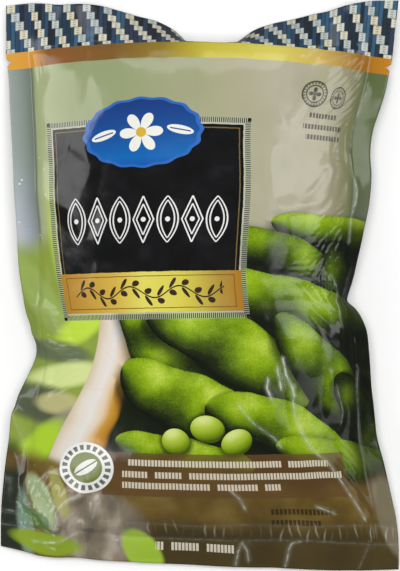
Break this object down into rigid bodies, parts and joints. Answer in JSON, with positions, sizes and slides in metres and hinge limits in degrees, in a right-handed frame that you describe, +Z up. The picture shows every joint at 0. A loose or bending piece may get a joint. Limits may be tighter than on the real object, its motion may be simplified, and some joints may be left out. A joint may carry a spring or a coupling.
{
  "type": "frozen vegetable pouch",
  "caption": "Flat heat-sealed film pouch of frozen edamame, pillow-shaped, with a sealed header, side seals, foot seal and tear notches, lying on its back panel.",
  "frame": {"origin": "under the middle of the pouch's box, on the surface that it lies on", "axes": "+Z up out of the front panel, +Y from the foot seal towards the header, +X to the right when the front panel is read"},
  "size_m": [0.203, 0.2892, 0.0494],
  "materials": {
    "front_film": "printed satin-gloss laminate film",
    "back_film": "printed satin-gloss laminate film",
    "pods": "frosted green pod skin"
  },
  "bodies": {
    "root": {"film_front": "front_film", "film_back": "back_film", "pods_01": "pods", "pods_02": "pods", "pods_03": "pods", "pods_04": "pods", "pods_05": "pods", "pods_06": "pods", "pods_07": "pods", "pods_08": "pods", "pods_09": "pods", "pods_10": "pods", "pods_11": "pods", "pods_12": "pods", "pods_13": "pods", "pods_14": "pods", "pods_15": "pods", "pods_16": "pods", "pods_17": "pods", "pods_18": "pods", "pods_19": "pods", "pods_20": "pods", "pods_21": "pods", "pods_22": "pods", "pods_23": "pods", "pods_24": "pods", "pods_25": "pods", "pods_26": "pods", "pods_27": "pods", "pods_28": "pods", "pods_29": "pods", "pods_30": "pods", "pods_31": "pods", "pods_32": "pods", "pods_33": "pods", "pods_34": "pods", "pods_35": "pods", "pods_36": "pods", "pods_37": "pods", "pods_38": "pods", "pods_39": "pods", "pods_40": "pods", "pods_41": "pods", "pods_42": "pods", "pods_43": "pods", "pods_44": "pods", "pods_45": "pods", "pods_46": "pods", "pods_47": "pods", "pods_48": "pods"}
  },
  "joints": []
}
